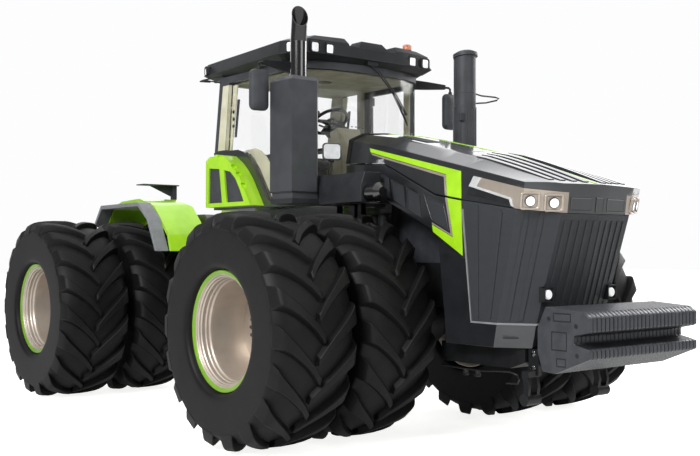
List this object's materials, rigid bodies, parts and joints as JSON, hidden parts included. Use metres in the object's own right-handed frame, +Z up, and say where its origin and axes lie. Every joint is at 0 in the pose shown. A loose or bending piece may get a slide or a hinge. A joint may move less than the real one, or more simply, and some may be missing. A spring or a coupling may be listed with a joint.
{
  "type": "articulated farm tractor",
  "caption": "Articulated four-wheel-drive farm tractor with twin lugged wheels, tilting hood, cab with a door, steering cylinders and front weights.",
  "frame": {"origin": "on the ground, at the middle of the overall length and width", "axes": "+X forward, +Y to the tractor's left, +Z up"},
  "size_m": [8.878, 4.61, 4.1506],
  "materials": {
    "graphite_paint": "semi-gloss",
    "green_paint": "gloss",
    "rim_paint": "satin metallic",
    "tyre_rubber": "matt",
    "cast_grey": "painted casting",
    "chassis_black": "satin",
    "dark_plastic": "fine texture",
    "grille_plastic": "mesh texture",
    "deck_grey": "satin",
    "trim_beige": "fine texture",
    "glass": "clear",
    "lamp_lens": "clear lens",
    "bezel": "metallic",
    "amber_lens": "translucent",
    "steel_rod": "polished",
    "black_pipe": "heat-proof",
    "seat_fabric": "woven",
    "soft_rubber": "matt"
  },
  "bodies": {
    "front_body": {"door_handrail": "black_pipe", "air_reservoir": "chassis_black", "front_frame": "chassis_black", "pivot_fork": "chassis_black", "front_axle": "chassis_black", "engine_block": "cast_grey", "front_weights": "cast_grey", "weight_carrier": "chassis_black", "nose_skirt": "graphite_paint", "front_grille": "grille_plastic", "fog_lamps": "lamp_lens", "hood_sides": "graphite_paint", "cab_base": "graphite_paint", "cab_frame": "dark_plastic", "cab_roof": "graphite_paint", "roof_lamps": "lamp_lens", "beacon": "amber_lens", "windscreen": "glass", "cab_glass": "glass", "seat": "seat_fabric", "seat_base": "dark_plastic", "steering_column": "trim_beige", "exhaust_guard": "graphite_paint", "exhaust_pipe": "black_pipe", "air_intake": "dark_plastic", "mirrors": "dark_plastic", "right_platform": "deck_grey", "left_platform": "deck_grey", "left_steps": "chassis_black", "cab_side_boxes": "green_paint", "cab_side_panels": "dark_plastic"},
    "hood_lid": {"hood": "graphite_paint", "headlights": "bezel", "headlight_lenses": "lamp_lens"},
    "left_door": {"left_door": "dark_plastic", "left_door_glass": "glass"},
    "steering_wheel": {"steering_wheel": "soft_rubber"},
    "rear_body": {"rear_frame": "chassis_black", "rear_axle": "chassis_black", "rear_fenders": "green_paint", "fender_lips": "deck_grey", "rear_deck": "graphite_paint", "drawbar": "chassis_black", "rear_bracket": "dark_plastic"},
    "front_left_wheels": {"front_left_tyres": "tyre_rubber", "front_left_rims": "rim_paint", "front_left_hub": "chassis_black"},
    "front_right_wheels": {"front_right_tyres": "tyre_rubber", "front_right_rims": "rim_paint", "front_right_hub": "chassis_black"},
    "rear_left_wheels": {"rear_left_tyres": "tyre_rubber", "rear_left_rims": "rim_paint", "rear_left_hub": "chassis_black"},
    "rear_right_wheels": {"rear_right_tyres": "tyre_rubber", "rear_right_rims": "rim_paint", "rear_right_hub": "chassis_black"},
    "left_barrel": {"left_cylinder_barrel": "chassis_black"},
    "left_rod": {"left_cylinder_rod": "steel_rod"},
    "right_barrel": {"right_cylinder_barrel": "chassis_black"},
    "right_rod": {"right_cylinder_rod": "steel_rod"}
  },
  "joints": [
    {"name": "front_left_wheel_spin", "type": "hinge", "parent": "front_body", "child": "front_left_wheels", "pos_m": [1.681, 0, 1.042], "axis": [0, 1, 0], "continuous": true},
    {"name": "front_right_wheel_spin", "type": "hinge", "parent": "front_body", "child": "front_right_wheels", "pos_m": [1.681, 0, 1.042], "axis": [0, 1, 0], "continuous": true},
    {"name": "rear_left_wheel_spin", "type": "hinge", "parent": "rear_body", "child": "rear_left_wheels", "pos_m": [-2.639, 0, 1.042], "axis": [0, 1, 0], "continuous": true},
    {"name": "rear_right_wheel_spin", "type": "hinge", "parent": "rear_body", "child": "rear_right_wheels", "pos_m": [-2.639, 0, 1.042], "axis": [0, 1, 0], "continuous": true},
    {"name": "articulation", "type": "hinge", "parent": "front_body", "child": "rear_body", "pos_m": [-0.479, 0, 1.22], "axis": [0, 0, 1], "range_deg": [-38, 38]},
    {"name": "hood_tilt", "type": "hinge", "parent": "front_body", "child": "hood_lid", "pos_m": [1.176, 0, 2.875], "axis": [0, -1, 0], "range_deg": [0, 50]},
    {"name": "left_door_swing", "type": "hinge", "parent": "front_body", "child": "left_door", "pos_m": [-0.151, 0.85, 3.2], "axis": [0, 0, 1], "range_deg": [0, 80]},
    {"name": "steering_wheel_turn", "type": "hinge", "parent": "front_body", "child": "steering_wheel", "pos_m": [0.171, 0, 3.17], "axis": [-0.5736, 0, 0.8192], "continuous": true},
    {"name": "left_barrel_turn", "type": "hinge", "parent": "front_body", "child": "left_barrel", "pos_m": [0.421, 0.5, 1.11], "axis": [0, 0, 1], "range_deg": [-16.5, 16.5]},
    {"name": "left_rod_slide", "type": "slide", "parent": "left_barrel", "child": "left_rod", "axis": [-1, 0, 0], "range_m": [-0.33, 0.33]},
    {"name": "right_barrel_turn", "type": "hinge", "parent": "front_body", "child": "right_barrel", "pos_m": [0.421, -0.5, 1.11], "axis": [0, 0, 1], "range_deg": [-16.5, 16.5]},
    {"name": "right_rod_slide", "type": "slide", "parent": "right_barrel", "child": "right_rod", "axis": [-1, 0, 0], "range_m": [-0.33, 0.33]}
  ],
  "couplings": [
    {"joint": "left_barrel_turn", "follows": "articulation", "ratio": 0.412},
    {"joint": "left_rod_slide", "follows": "articulation", "m_per_rad": 0.49},
    {"joint": "right_barrel_turn", "follows": "articulation", "ratio": 0.412},
    {"joint": "right_rod_slide", "follows": "articulation", "m_per_rad": -0.49}
  ]
}
